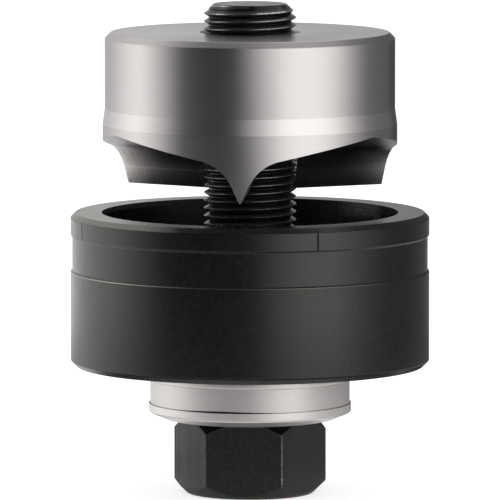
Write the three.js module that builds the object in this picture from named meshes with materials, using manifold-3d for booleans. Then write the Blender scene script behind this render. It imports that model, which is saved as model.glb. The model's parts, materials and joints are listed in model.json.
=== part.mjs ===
// A round sheet metal punch for a 60 mm hole: a three-bladed punch and a cup-shaped die,
// drawn together by a hex-headed screw that turns on a ball thrust bearing.
// Millimetres, +Z up. The origin is the middle of the hex head's lower face, on which the part stands.
// An azimuth of zero faces -Y, towards the viewer, and grows towards +X.
import * as THREE from "three";
import { mergeVertices } from "three/addons/utils/BufferGeometryUtils.js";
import Module from "manifold-3d";

const wasm = await Module();
wasm.setup();

// Fits between the pieces
const runningGap = 0.3; // radial, round the shank in a piece that is centred on it
const holeGap = 0.6; // radial, round the shank in a piece that it only passes through
const seatGap = 0.1; // axial, between faces that rest on each other
const dieGap = 0.2; // radial, between the punch's cutting edge and the die's
const overrun = 2; // how far a cutting solid reaches past what it cuts

// Punch
const holeDiameter = 60; // the hole it cuts
const punchHeight = 32.3; // blade points to top face
const punchCollarHeight = 15.45; // the narrower cylinder at the top, with its chamfer
const punchFlareHeight = 3.25;
const punchRelief = 0.45; // radial, collar inside the cutting land
const punchChamfer = 1.2;
const punchBoreChamfer = 0.6;
const bladeCount = 3;
const firstBladeAzimuth = -3.9; // degrees
const bladePointAngle = 50; // degrees, both flanks together
const bladePointHeight = 3.5; // straight flank, before it curves into the shoulder
const bladeEdgeWidth = 0.3; // the flat along the ridge
const gulletRadius = 8.9;
const shoulderAngle = 12; // degrees, the slow rise from a blade's root to the valley
const punchLift = 4.45; // blade points above the die, as the part stands

// Die
const dieWall = 6.35; // between the bore and the side
const dieHeight = 31.3;
const dieFloorThickness = 10;
const dieRimChamfer = 1;
const dieBaseChamfer = 1.15;
const dieUpperLandHeight = 4.5; // with its chamfer
const dieBandHeight = 7.15; // the turned-down band between the two lands
const dieBandDepth = 0.33; // radial
const dieFloorFillet = 2;
const dieHoleChamfer = 0.8;
const markCount = 4; // the scribed lines that centre the die on a layout
const markDepth = 0.25;
const firstMarkAzimuth = 22.4; // degrees

// Draw screw
const studDiameter = 18.8; // over the thread's crests
const studLength = 84.75; // from the head's upper face
const studTipDiameter = 14.8;
const studTipHeight = 1.8;
const hexAcrossFlats = 27;
const hexHeight = 15.25;
const hexBaseChamfer = 2.7; // at the corners, round the lower face
const hexFaceChamfer = 2; // at the corners, round the upper face
const hexCornerAzimuth = 24.6; // degrees

// Thrust bearing
const lowerWasherThickness = 3.15;
const lowerWasherOverhang = 0.3; // radial, past the cover
const lowerWasherBevelWidth = 3.25; // radial, the slope round its underside
const lowerWasherBevelHeight = 1.4;
const upperWasherThickness = 2.75;
const washerEdgeBreak = 0.15;
const ballDiameter = 5.56;
const raceDepth = 0.38; // how far a ball sits in each washer
const ballGap = 0.1; // round a ball, in its races
const pocketGap = 0.17; // round a ball, in its cage
const cageThickness = 2.2;
const cageWall = 0.5; // round a pocket, at least
const cageShankGap = 1.95; // radial, between the shank and the cage
const cageStepGap = 0.35; // radial, between the cage and the upper washer's step
const coverWall = 0.75;
const coverEdgeBreak = 0.5; // round its upper edge
const coverGap = 0.15; // between the cover's lower edge and the lower washer
const stepHeight = 1; // the upper washer's step, on which the cover is pressed
const stepWall = 0.9;

// Facets
const largeFacets = 96;
const smallFacets = 48;
const curveFacets = 7;
const quarterFacets = 4;
const pocketFacets = 12;
const ballWidthFacets = 10;
const ballHeightFacets = 7;

// Half sizes, and levels measured from the origin
const punchRadius = holeDiameter / 2;
const collarRadius = punchRadius - punchRelief;
const dieBoreRadius = punchRadius + dieGap;
const dieRadius = dieBoreRadius + dieWall;
const studRadius = studDiameter / 2;
const ballRadius = ballDiameter / 2;
const pocketRadius = ballRadius + pocketGap;
const cageInnerRadius = studRadius + cageShankGap;
const ballCircleRadius = cageInnerRadius + cageWall + pocketRadius;
const cageOuterRadius = ballCircleRadius + pocketRadius + cageWall;
const ballCount = Math.floor((2 * Math.PI * ballCircleRadius) / (2 * pocketRadius + cageWall));
const stepInnerRadius = cageOuterRadius + cageStepGap;
const coverInnerRadius = stepInnerRadius + stepWall + seatGap;
const bearingRadius = coverInnerRadius + coverWall;
const raceSpacing = ballDiameter - 2 * raceDepth;
const bearingHeight = lowerWasherThickness + raceSpacing + upperWasherThickness;
const bearingLevel = hexHeight + seatGap;
const dieLevel = bearingLevel + bearingHeight + seatGap;
const punchLevel = dieLevel + dieHeight + punchLift;

const groundSteel = new THREE.MeshStandardMaterial({
  color: 0xb9b6b2,
  roughness: 0.3,
  metalness: 1,
});
const blackOxide = new THREE.MeshStandardMaterial({
  color: 0x2b2927,
  roughness: 0.45,
  metalness: 0.9,
});
const oiledThread = new THREE.MeshStandardMaterial({
  color: 0x191a1b,
  roughness: 0.35,
  metalness: 0.9,
});
const satinSteel = new THREE.MeshStandardMaterial({
  color: 0xcac7c4,
  roughness: 0.42,
  metalness: 1,
});
const ballSteel = new THREE.MeshStandardMaterial({
  color: 0xd8d8d8,
  roughness: 0.12,
  metalness: 1,
});
const cageBrass = new THREE.MeshStandardMaterial({
  color: 0xb5934a,
  roughness: 0.4,
  metalness: 1,
});

const radians = THREE.MathUtils.degToRad;

// The outward direction at an azimuth.
function outward(azimuth) {
  return new THREE.Vector3(Math.sin(azimuth), -Math.cos(azimuth), 0);
}

// A ring or a disc turned about +Z from a closed outline of [radius, height] pairs.
// The outline runs up the outside and down the inside.
function turned(outline, facets) {
  const points = outline.map(([radius, height]) => new THREE.Vector2(radius, height));
  const onAxis = outline[0][0] === 0 && outline[outline.length - 1][0] === 0;
  if (!onAxis) {
    points.push(points[0].clone());
  }
  return new THREE.LatheGeometry(points, facets).rotateX(Math.PI / 2);
}

// A quarter or part of a circle as [radius, height] pairs, from one angle to another, in degrees.
function arcPoints(centre, radius, fromAngle, toAngle, steps) {
  return Array.from({ length: steps + 1 }, (_, step) => {
    const angle = radians(THREE.MathUtils.lerp(fromAngle, toAngle, step / steps));
    return [centre[0] + radius * Math.cos(angle), centre[1] + radius * Math.sin(angle)];
  });
}

function toSolid(geometry) {
  const bare = geometry.clone();
  bare.deleteAttribute("normal");
  bare.deleteAttribute("uv");
  const merged = mergeVertices(bare);
  return new wasm.Manifold(
    new wasm.Mesh({
      numProp: 3,
      vertProperties: new Float32Array(merged.attributes.position.array),
      triVerts: new Uint32Array(merged.index.array),
    }),
  );
}

function toGeometry(solid) {
  const mesh = solid.getMesh();
  const geometry = new THREE.BufferGeometry();
  geometry.setAttribute("position", new THREE.BufferAttribute(mesh.vertProperties, 3));
  geometry.setIndex(new THREE.BufferAttribute(mesh.triVerts, 1));
  geometry.computeVertexNormals();
  return geometry;
}

function piece(name, geometry, material) {
  const mesh = new THREE.Mesh(geometry, material);
  mesh.name = name;
  return mesh;
}

// One flank of a blade, seen along its ridge: the space below it, to be cut away.
// x is the distance from the ridge and y the height above the blade points.
function flankShape() {
  const flankAngle = radians(90 - bladePointAngle / 2);
  const restAngle = radians(shoulderAngle);
  const edge = bladeEdgeWidth / 2;
  const flankFoot = edge + bladePointHeight / Math.tan(flankAngle);
  const centreX = flankFoot + gulletRadius * Math.sin(flankAngle);
  const centreY = bladePointHeight - gulletRadius * Math.cos(flankAngle);
  const shoulderX = centreX - gulletRadius * Math.sin(restAngle);
  const shoulderY = centreY + gulletRadius * Math.cos(restAngle);
  const reach = punchRadius + overrun;
  const shape = new THREE.Shape();
  shape.moveTo(edge, -overrun);
  shape.lineTo(edge, 0);
  shape.lineTo(flankFoot, bladePointHeight);
  shape.absarc(centreX, centreY, gulletRadius, Math.PI / 2 + flankAngle, Math.PI / 2 + restAngle, true);
  shape.lineTo(reach, shoulderY + (reach - shoulderX) * Math.tan(restAngle));
  shape.lineTo(reach, -overrun);
  shape.closePath();
  return shape;
}

// The flank's space run along a ridge, on the side that sign gives.
function flankCutter(ridgeAzimuth, sign) {
  const reach = punchRadius + overrun;
  const along = outward(ridgeAzimuth).multiplyScalar(sign);
  const up = new THREE.Vector3(0, 0, 1);
  const away = new THREE.Vector3().crossVectors(up, along);
  const frame = new THREE.Matrix4().makeBasis(away, up, along);
  const geometry = new THREE.ExtrudeGeometry(flankShape(), {
    depth: 2 * reach,
    curveSegments: curveFacets,
    bevelEnabled: false,
  });
  return toSolid(geometry.translate(0, 0, -reach).applyMatrix4(frame));
}

// The punch stands on its blade points. Each gullet is what the facing flanks of two blades share.
function punchGeometry() {
  const boreRadius = studRadius + runningGap;
  const flareTop = punchHeight - punchCollarHeight;
  const blank = turned(
    [
      [boreRadius, 0],
      [punchRadius, 0],
      [punchRadius, flareTop - punchFlareHeight],
      [collarRadius, flareTop],
      [collarRadius, punchHeight - punchChamfer],
      [collarRadius - punchChamfer, punchHeight],
      [boreRadius + punchBoreChamfer, punchHeight],
      [boreRadius, punchHeight - punchBoreChamfer],
    ],
    largeFacets,
  );
  let solid = toSolid(blank);
  for (let blade = 0; blade < bladeCount; blade++) {
    const thisRidge = (2 * Math.PI * blade) / bladeCount;
    const nextRidge = (2 * Math.PI * (blade + 1)) / bladeCount;
    const gullet = flankCutter(thisRidge, 1).intersect(flankCutter(nextRidge, -1));
    solid = solid.subtract(gullet);
  }
  return toGeometry(solid);
}

// The die is a cup: its rim is the cutting edge, its hollow takes the slug, and the screw passes its floor.
function dieGeometry() {
  const holeRadius = studRadius + holeGap;
  const bandRadius = dieRadius - dieBandDepth;
  const bandTop = dieHeight - dieUpperLandHeight;
  const bandBottom = bandTop - dieBandHeight;
  const filletCentre = [dieBoreRadius - dieFloorFillet, dieFloorThickness + dieFloorFillet];
  const cup = turned(
    [
      [holeRadius + dieHoleChamfer, 0],
      [dieRadius - dieBaseChamfer, 0],
      [dieRadius, dieBaseChamfer],
      [dieRadius, bandBottom - dieBandDepth],
      [bandRadius, bandBottom],
      [bandRadius, bandTop - dieBandDepth],
      [dieRadius, bandTop],
      [dieRadius, dieHeight - dieRimChamfer],
      [dieRadius - dieRimChamfer, dieHeight],
      [dieBoreRadius, dieHeight],
      ...arcPoints(filletCentre, dieFloorFillet, 0, -90, quarterFacets),
      [holeRadius + dieHoleChamfer, dieFloorThickness],
      [holeRadius, dieFloorThickness - dieHoleChamfer],
      [holeRadius, dieHoleChamfer],
    ],
    largeFacets,
  );
  let solid = toSolid(cup);
  for (let mark = 0; mark < markCount; mark++) {
    const azimuth = radians(firstMarkAzimuth) + (2 * Math.PI * mark) / markCount;
    solid = solid.subtract(toSolid(markCutter(azimuth, bandTop - dieBandDepth)));
  }
  return toGeometry(solid);
}

// A square rod on edge, which scribes a line down the die's upper land from the rim to a level.
function markCutter(azimuth, level) {
  const height = dieHeight + overrun - level;
  const rod = new THREE.CylinderGeometry(markDepth, markDepth, height, 4);
  const place = outward(azimuth).multiplyScalar(dieRadius);
  return rod.rotateX(Math.PI / 2).rotateZ(azimuth).translate(place.x, place.y, level + height / 2);
}

// The screw stands on its hex head. Its shank runs at the thread's crest diameter to a chamfered tip.
function drawScrewGeometry() {
  const cornerRadius = hexAcrossFlats / Math.sqrt(3);
  const baseRadius = cornerRadius - hexBaseChamfer;
  const faceRadius = cornerRadius - hexFaceChamfer;
  const prism = new THREE.CylinderGeometry(cornerRadius, cornerRadius, hexHeight, 6);
  const bounds = turned(
    [
      [0, 0],
      [baseRadius, 0],
      [baseRadius + hexHeight / 2, hexHeight / 2],
      [faceRadius + hexHeight / 2, hexHeight / 2],
      [faceRadius, hexHeight],
      [0, hexHeight],
    ],
    smallFacets,
  );
  const shank = turned(
    [
      [0, hexHeight / 2],
      [studRadius, hexHeight / 2],
      [studRadius, hexHeight + studLength - studTipHeight],
      [studTipDiameter / 2, hexHeight + studLength],
      [0, hexHeight + studLength],
    ],
    smallFacets,
  );
  const head = toSolid(prism.rotateX(Math.PI / 2).translate(0, 0, hexHeight / 2));
  return toGeometry(head.intersect(toSolid(bounds)).add(toSolid(shank)));
}

// The groove in a washer's face in which the balls run, in the order of the washer's outline:
// inwards over the lower washer, outwards under the upper one.
function raceArc(ballHeight, middleAngle) {
  const grooveRadius = ballRadius + ballGap;
  const halfAngle = THREE.MathUtils.radToDeg(Math.acos(raceSpacing / 2 / grooveRadius));
  const centre = [ballCircleRadius, ballHeight];
  return arcPoints(centre, grooveRadius, middleAngle + halfAngle, middleAngle - halfAngle, quarterFacets);
}

// The lower washer turns with the screw's head.
function lowerWasherGeometry() {
  const boreRadius = studRadius + runningGap;
  const rimRadius = bearingRadius + lowerWasherOverhang;
  return turned(
    [
      [boreRadius, 0],
      [rimRadius - lowerWasherBevelWidth, 0],
      [rimRadius, lowerWasherBevelHeight],
      [rimRadius, lowerWasherThickness - washerEdgeBreak],
      [rimRadius - washerEdgeBreak, lowerWasherThickness],
      ...raceArc(lowerWasherThickness + raceSpacing / 2, -90),
      [boreRadius, lowerWasherThickness],
    ],
    smallFacets,
  );
}

// The upper washer carries the die, and its step carries the cover.
function upperWasherGeometry() {
  const boreRadius = studRadius + holeGap;
  const stepRadius = stepInnerRadius + stepWall;
  return turned(
    [
      [boreRadius, 0],
      ...raceArc(-raceSpacing / 2, 90),
      [stepInnerRadius, 0],
      [stepInnerRadius, -stepHeight],
      [stepRadius, -stepHeight],
      [stepRadius, 0],
      [bearingRadius - washerEdgeBreak, 0],
      [bearingRadius, washerEdgeBreak],
      [bearingRadius, upperWasherThickness - washerEdgeBreak],
      [bearingRadius - washerEdgeBreak, upperWasherThickness],
      [boreRadius, upperWasherThickness],
    ],
    smallFacets,
  );
}

// The cover is a sleeve round the balls, pressed on the upper washer's step.
function coverGeometry() {
  const height = raceSpacing - coverGap - seatGap;
  return turned(
    [
      [coverInnerRadius, 0],
      [bearingRadius, 0],
      [bearingRadius, height - coverEdgeBreak],
      [bearingRadius - coverEdgeBreak, height],
      [coverInnerRadius, height],
    ],
    smallFacets,
  );
}

// The cage is a flat ring with one round pocket for each ball.
function cageGeometry() {
  let solid = toSolid(
    turned(
      [
        [cageInnerRadius, -cageThickness / 2],
        [cageOuterRadius, -cageThickness / 2],
        [cageOuterRadius, cageThickness / 2],
        [cageInnerRadius, cageThickness / 2],
      ],
      smallFacets,
    ),
  );
  for (let ball = 0; ball < ballCount; ball++) {
    const pocket = new THREE.CylinderGeometry(pocketRadius, pocketRadius, cageThickness + overrun, pocketFacets);
    const place = outward(ballAzimuth(ball)).multiplyScalar(ballCircleRadius);
    pocket.rotateX(Math.PI / 2).rotateZ(ballAzimuth(ball)).translate(place.x, place.y, place.z);
    solid = solid.subtract(toSolid(pocket));
  }
  return toGeometry(solid);
}

function ballAzimuth(ball) {
  return (2 * Math.PI * ball) / ballCount;
}

// The bearing, standing on its lower washer.
function bearingGroup() {
  const group = new THREE.Group();
  const ballLevel = lowerWasherThickness + raceSpacing / 2;
  const upperLevel = lowerWasherThickness + raceSpacing;
  const lowerWasher = piece("bearing_lower_washer", lowerWasherGeometry(), satinSteel.clone());
  const upperWasher = piece("bearing_upper_washer", upperWasherGeometry(), satinSteel.clone());
  const cover = piece("bearing_cover", coverGeometry(), satinSteel.clone());
  const cage = piece("ball_cage", cageGeometry(), cageBrass.clone());
  upperWasher.position.z = upperLevel;
  cover.position.z = lowerWasherThickness + coverGap;
  cage.position.z = ballLevel;
  group.add(lowerWasher, upperWasher, cover, cage);
  for (let ball = 0; ball < ballCount; ball++) {
    const name = `ball_${String(ball + 1).padStart(2, "0")}`;
    const geometry = new THREE.SphereGeometry(ballRadius, ballWidthFacets, ballHeightFacets);
    const mesh = piece(name, geometry.rotateX(Math.PI / 2), ballSteel.clone());
    mesh.position.copy(outward(ballAzimuth(ball)).multiplyScalar(ballCircleRadius));
    mesh.position.z = ballLevel;
    mesh.rotation.z = ballAzimuth(ball);
    group.add(mesh);
  }
  return group;
}

const part = new THREE.Group();

const drawScrew = piece("draw_screw", drawScrewGeometry(), oiledThread.clone());
drawScrew.rotation.z = radians(hexCornerAzimuth);

const bearing = bearingGroup();
bearing.position.z = bearingLevel;

const die = piece("die", dieGeometry(), blackOxide.clone());
die.position.z = dieLevel;

const punch = piece("punch", punchGeometry(), groundSteel.clone());
punch.position.z = punchLevel;
punch.rotation.z = radians(firstBladeAzimuth);

part.add(drawScrew, bearing, die, punch);

export default part;
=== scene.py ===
"""The sheet metal punch in a studio: punch, die, draw screw and thrust bearing, with their finishes."""

import json
import math
from functools import cached_property, partial, reduce

import bpy
import numpy as np
from bpy.props import FloatProperty, FloatVectorProperty, IntProperty, PointerProperty
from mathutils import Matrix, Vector

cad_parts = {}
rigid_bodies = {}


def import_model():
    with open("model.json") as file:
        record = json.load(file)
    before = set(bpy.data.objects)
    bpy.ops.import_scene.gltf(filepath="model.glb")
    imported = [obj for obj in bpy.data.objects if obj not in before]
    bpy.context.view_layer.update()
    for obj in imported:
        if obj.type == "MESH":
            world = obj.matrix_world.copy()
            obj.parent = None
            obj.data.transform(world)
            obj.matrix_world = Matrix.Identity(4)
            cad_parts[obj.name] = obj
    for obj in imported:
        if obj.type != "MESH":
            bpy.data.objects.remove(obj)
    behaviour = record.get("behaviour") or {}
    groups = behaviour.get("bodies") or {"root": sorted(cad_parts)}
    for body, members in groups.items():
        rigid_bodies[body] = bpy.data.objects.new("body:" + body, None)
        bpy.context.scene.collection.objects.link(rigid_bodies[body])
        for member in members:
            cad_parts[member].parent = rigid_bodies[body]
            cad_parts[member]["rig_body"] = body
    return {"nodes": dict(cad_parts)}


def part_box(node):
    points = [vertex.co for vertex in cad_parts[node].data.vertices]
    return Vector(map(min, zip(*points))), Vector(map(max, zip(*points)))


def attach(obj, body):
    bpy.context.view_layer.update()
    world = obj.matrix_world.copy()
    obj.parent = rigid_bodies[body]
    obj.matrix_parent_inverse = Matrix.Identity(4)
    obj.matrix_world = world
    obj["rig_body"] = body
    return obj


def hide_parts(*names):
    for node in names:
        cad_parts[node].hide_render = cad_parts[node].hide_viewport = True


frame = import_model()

bl_info = {
    "name": "Sheet Metal Punch",
    "version": (1, 0, 0),
    "blender": (4, 5, 0),
    "location": "View3D > Sidebar > Sheet Punch",
    "description": "Builds the finished pieces of a round sheet metal punch on its frame",
    "category": "Object",
}

TURN = 2 * math.pi
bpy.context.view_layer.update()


# Sizes and colours


def length(name, description, default):
    kind = {"subtype": "DISTANCE", "unit": "LENGTH", "precision": 5}
    return FloatProperty(name=name, description=description, default=default, min=0, **kind)


def angle(name, description, default):
    kind = {"subtype": "ANGLE", "unit": "ROTATION"}
    return FloatProperty(name=name, description=description, default=math.radians(default), **kind)


def colour(name, description, default):
    kind = {"subtype": "COLOR", "size": 3}
    return FloatVectorProperty(name=name, description=description, default=default, min=0, max=1, **kind)


def factor(name, description, default, most=1.0):
    kind = {"subtype": "FACTOR"}
    return FloatProperty(name=name, description=description, default=default, min=0, max=most, **kind)


def number(name, description, default, least, most):
    return IntProperty(name=name, description=description, default=default, min=least, max=most)


class PunchSettings(bpy.types.PropertyGroup):
    """The bladed punch."""

    hole_diameter: length("Hole diameter", "The hole that the punch cuts", 0.06)
    bore_radius: length("Bore radius", "Over the crests of the punch's inner thread", 0.0097)
    groove_depth: length("Thread groove depth", "From the inner thread's crests to its roots", 0.00062)
    collar_height: length("Collar height", "The narrower cylinder at the top, with its chamfer", 0.01545)
    flare_height: length("Flare height", "The cone between the collar and the cutting land", 0.00325)
    relief: length("Relief", "How far the collar stands back from the cutting land", 0.00045)
    top_chamfer: length("Top chamfer", "Round the top face", 0.0012)
    bore_chamfer: length("Bore chamfer", "Round the bore in the top face", 0.0006)
    blade_count: number("Blades", "Number of blades", 3, 2, 4)
    first_blade: angle("First blade", "Azimuth of the front blade from the viewer's side", -3.9)
    point_angle: angle("Blade point angle", "Both flanks of a blade together", 50)
    point_height: length("Blade point height", "The straight part of a flank", 0.0035)
    ridge_width: length("Ridge width", "The flat along a blade's edge", 0.0003)
    gullet_radius: length("Gullet radius", "The hollow between a blade's flank and its shoulder", 0.0089)
    shoulder_angle: angle("Shoulder angle", "The slow rise from a blade to the middle of a gullet", 12)
    steel: colour("Ground steel", "Colour of the ground punch", (0.67, 0.643, 0.636))
    roughness: factor("Roughness", "Of the ground sides", 0.3)


class DieSettings(bpy.types.PropertyGroup):
    """The cup-shaped die."""

    bore_radius: length("Bore radius", "Inside the cutting edge", 0.0302)
    hole_radius: length("Hole radius", "The hole in the floor, which the screw passes", 0.01)
    floor_thickness: length("Floor thickness", "Under the hollow", 0.01)
    floor_fillet: length("Floor fillet", "Between the floor and the bore", 0.002)
    hole_chamfer: length("Hole chamfer", "At both ends of the hole in the floor", 0.0008)
    rim_chamfer: length("Rim chamfer", "Round the rim's outside", 0.001)
    base_chamfer: length("Base chamfer", "Round the lower face", 0.00115)
    upper_land: length("Upper land", "The full width above the band, with the rim's chamfer", 0.0045)
    band_height: length("Band height", "The turned-down band round the side", 0.00715)
    band_depth: length("Band depth", "How far the band stands back", 0.00033)
    mark_count: number("Marks", "Scribed lines round the upper land", 4, 1, 8)
    first_mark: angle("First mark", "Azimuth of the front mark from the viewer's side", 21.8)
    mark_width: length("Mark width", "Width of a scribed line", 0.0006)
    mark_depth: length("Mark depth", "Depth of a scribed line", 0.00006)
    oxide: colour("Black oxide", "Colour of the blackened die", (0.0055, 0.0053, 0.0051))
    roughness: factor("Roughness", "Of the blackened sides", 0.27)


class ScrewSettings(bpy.types.PropertyGroup):
    """The draw screw with its hex head."""

    stud_radius: length("Stud radius", "Over the thread's crests", 0.0094)
    tip_radius: length("Tip radius", "The flat end of the stud", 0.0074)
    tip_height: length("Tip height", "The chamfer at the stud's end", 0.0018)
    pitch: length("Thread pitch", "3/4 inch fine thread, 16 turns per inch, right-hand", 0.0015875)
    thread_depth: length("Thread depth", "Crest to root", 0.000974)
    plain_shank: length("Plain shank", "From the head to the thread, inside the die's floor", 0.018)
    run_in: length("Thread run-in", "Over which the thread reaches its depth", 0.003)
    across_flats: length("Across flats", "The wrench size of the head", 0.027)
    head_height: length("Head height", "The hex head", 0.01525)
    base_chamfer: length("Base chamfer", "At the corners of the lower face", 0.0027)
    face_chamfer: length("Face chamfer", "At the corners of the upper face", 0.002)
    corner_azimuth: angle("Corner azimuth", "One corner of the head from the viewer's side", 24.6)
    corner_rounding: length("Corner rounding", "Radius along the head's upright edges", 0.00035)
    thread_colour: colour("Oiled thread", "Colour of the blackened and oiled thread", (0.003, 0.003, 0.0031))
    head_colour: colour("Head", "Colour of the blackened head", (0.005, 0.0049, 0.0047))


class BearingSettings(bpy.types.PropertyGroup):
    """The thrust bearing."""

    lower_bore: length("Lower washer bore", "Radius of the hole in the lower washer", 0.0097)
    upper_bore: length("Upper washer bore", "Radius of the hole in the upper washer", 0.01)
    bevel_width: length("Lower washer bevel width", "Across the slope round its underside", 0.00325)
    bevel_height: length("Lower washer bevel height", "Up the slope round its underside", 0.0014)
    joint_inset: length("Joint inset", "How far the upper washer's foot stands back from the cover", 0.00007)
    joint_bevel: length("Joint bevel", "On the upper washer, over its joint with the cover", 0.00035)
    top_slope: length("Top slope", "How far the upper washer's upper half leans in", 0.0004)
    gap_least: length("Least gap", "Between the cover and the lower washer", 0.00001)
    gap_most: length("Greatest gap", "Between the cover and the lower washer, at the front", 0.00034)
    ball_circle: length("Ball circle radius", "The circle through the balls' centres", 0.0148)
    race_depth: length("Race depth", "How far a ball sits in each washer", 0.00038)
    ball_gap: length("Ball gap", "Round a ball in its races", 0.0001)
    cover_inner: length("Cover inner radius", "Inside the cover", 0.0196)
    step_inner: length("Step inner radius", "Inside the upper washer's step", 0.0186)
    step_outer: length("Step outer radius", "Outside the upper washer's step", 0.0195)
    step_height: length("Step height", "The upper washer's step, which holds the cover", 0.001)
    steel: colour("Satin steel", "Colour of the washers and the cover", (0.7, 0.668, 0.66))
    ball: colour("Ball steel", "Colour of the polished balls", (0.7, 0.7, 0.7))
    brass: colour("Cage brass", "Colour of the ball cage", (0.6, 0.44, 0.17))


class StageSettings(bpy.types.PropertyGroup):
    """The floor, the lamps and the dark cards round the object."""

    floor_colour: colour("Floor", "Colour of the floor", (0.8, 0.8, 0.8))
    floor_glow: factor("Floor glow", "Light that the camera sees from the floor itself", 0.66)
    fill: factor("Fill light", "Strength of the light from all round", 0.76)
    right_lamp: factor("Right lamp", "Brightness of the soft lamp at front right", 0.26, 5.0)
    left_lamp: factor("Left lamp", "Brightness of the soft lamp at left", 0.12, 5.0)
    lamp_distance: length("Lamp distance", "From the object to either lamp", 0.95)
    lamp_height: length("Lamp height", "Of either lamp's panel", 0.9)
    card_distance: length("Card distance", "From the object to the dark cards", 0.19)
    card_height: length("Card height", "Of the dark cards", 0.36)


# Shapes

EASE_STEP = 14  # degrees turned by each facet of an eased edge
HOLD = 0.00004  # metres between an eased edge and the row that keeps the face beside it flat
BELOW, ABOVE = -1e6, 1e6  # keys of a thread's first and last row

# How many columns each round piece has, and how many rows each curve.
DIE_COLUMNS = 240
RING_COLUMNS = 192
TOP_COLUMNS = 144
STUD_COLUMNS = 72
BALL_COLUMNS, BALL_ROWS = 40, 20
HOLLOW_ROWS, SHOULDER_ROWS = 16, 28
FILLET_ROWS, RACE_ROWS = 8, 10

# A thread's outline over one turn, as shares: of the pitch, and of the depth below the crest.
THREAD_FLANK = ((0.03, 0.0), (0.08, 0.07), (0.4, 0.93), (0.44, 1.0))
THREAD = (*THREAD_FLANK, *((1 - share, depth) for share, depth in reversed(THREAD_FLANK)))
CREST_SHARE = 1 / 12  # of the depth, over which a crest is rubbed bare


def outward(azimuth):
    """The direction at an azimuth, which is zero towards the viewer and grows towards +X."""
    return math.sin(azimuth), -math.cos(azimuth)


def round_azimuths(count):
    return [TURN * n / count for n in range(count)]


class Net:
    """Points and faces of one mesh. A column is a list of (key, point) pairs from the bottom up.
    A point's wear is how bare it is rubbed; below zero it is painted shade, and above one a painted
    highlight."""

    def __init__(self):
        self.points = []
        self.wear_and_painted_light = []
        self.across = {}  # by point, its distance from the ridge of the nearer blade
        self.faces = []
        self.milled = []  # one for a face that is milled, and zero for others
        self.milling = 0.0

    def point(self, radius, azimuth, height, wear_and_painted_light=0.0):
        x, y = outward(azimuth)
        self.points.append((radius * x, radius * y, height))
        self.wear_and_painted_light.append(wear_and_painted_light)
        return len(self.points) - 1

    def column(self, azimuth, outline):
        """One column of an outline of (radius, height) or (radius, height, wear)."""
        return [(row, self.point(p[0], azimuth, p[1], *p[2:])) for row, p in enumerate(outline)]

    def face(self, *corners):
        kept = [c for c, before in zip(corners, corners[-1:] + corners[:-1]) if c != before]
        if len(kept) > 2:
            self.faces.append(kept)
            self.milled.append(self.milling)

    def join(self, left, right):
        """The strip between two columns, of which the right one has the larger azimuth, facing outwards.
        Points with the same key are joined across; others end in triangles."""
        i = j = 0
        while i + 1 < len(left) or j + 1 < len(right):
            key_left = left[i + 1][0] if i + 1 < len(left) else math.inf
            key_right = right[j + 1][0] if j + 1 < len(right) else math.inf
            last = i + 1 == len(left) - 1 and j + 1 == len(right) - 1
            if last or (key_left == key_right and i + 1 < len(left) and j + 1 < len(right)):
                self.face(left[i][1], right[j][1], right[j + 1][1], left[i + 1][1])
                i, j = i + 1, j + 1
            elif j + 1 >= len(right) or (i + 1 < len(left) and key_left < key_right):
                self.face(left[i][1], right[j][1], left[i + 1][1])
                i += 1
            else:
                self.face(left[i][1], right[j][1], right[j + 1][1])
                j += 1

    def join_round(self, columns, growth=0, inwards=False):
        """Joins columns all the way round, facing outwards or inwards.
        Keys that are whole numbers grow by growth in one turn, as a thread's do."""
        again = [(key - growth if isinstance(key, int) else key, p) for key, p in columns[0]]
        for left, right in zip(columns, [*columns[1:], again]):
            if inwards:
                self.join(right, left)
            else:
                self.join(left, right)

    def loop(self, columns):
        """Joins columns of a closed outline all the way round."""
        self.join_round([c + [(len(c), c[0][1])] for c in columns])

    def ring(self, outer, inner):
        """The flat face between two rings, given as lists of (azimuth, point), facing upwards."""
        outer, inner = sorted(outer), sorted(inner)
        for edge in (outer, inner):
            azimuth, point = edge[0]
            edge.append((azimuth + TURN, point))
        self.join(inner, outer)

    def fan(self, centre, rim):
        """Triangles from a centre to each two neighbours on a rim."""
        for near, far in zip(rim, rim[1:] + rim[:1]):
            self.face(centre, near, far)

    def piece(self, name, material, sharp):
        """The finished mesh object. Edges that turn by more than sharp degrees stay crisp."""
        mesh = bpy.data.meshes.new(name)
        mesh.from_pydata(self.points, [], self.faces)
        values = {"wear_and_painted_light": self.wear_and_painted_light}
        if self.across:
            values["across"] = [self.across.get(n, 0.0) for n in range(len(self.points))]
            mesh.attributes.new("milled", "FLOAT", "FACE").data.foreach_set("value", self.milled)
        for key, column in values.items():
            mesh.attributes.new(key, "FLOAT", "POINT").data.foreach_set("value", column)
        mesh.validate()
        mesh.materials.append(material)
        mesh.shade_smooth()
        mesh.set_sharp_from_angle(angle=math.radians(sharp))
        mesh.update()
        made = bpy.data.objects.new(name, mesh)
        bpy.context.scene.collection.objects.link(made)
        return made


def eased(outline):
    """An outline of (radius, height, setback) in which each edge is eased over its setback.
    The eased rows carry wear."""
    rows = []
    for n, (radius, height, setback) in enumerate(outline):
        if setback == 0:
            rows.append((radius, height, 0.0))
            continue
        here = Vector((radius, height))
        before = Vector(outline[n - 1][:2]) - here
        after = Vector(outline[(n + 1) % len(outline)][:2]) - here
        before_way, after_way = before.normalized(), after.normalized()
        steps = max(2, round(math.degrees(math.pi - before_way.angle(after_way)) / EASE_STEP))
        hold_before = min(setback + HOLD, before.length / 2)
        hold_after = min(setback + HOLD, after.length / 2)
        rows.append((*(here + before_way * hold_before), 0.0))
        for step in range(steps + 1):
            t = step / steps
            at = here + before_way * setback * (1 - t) ** 2 + after_way * setback * t**2
            rows.append((*at, 1.0))
        rows.append((*(here + after_way * hold_after), 0.0))
    return rows


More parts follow.
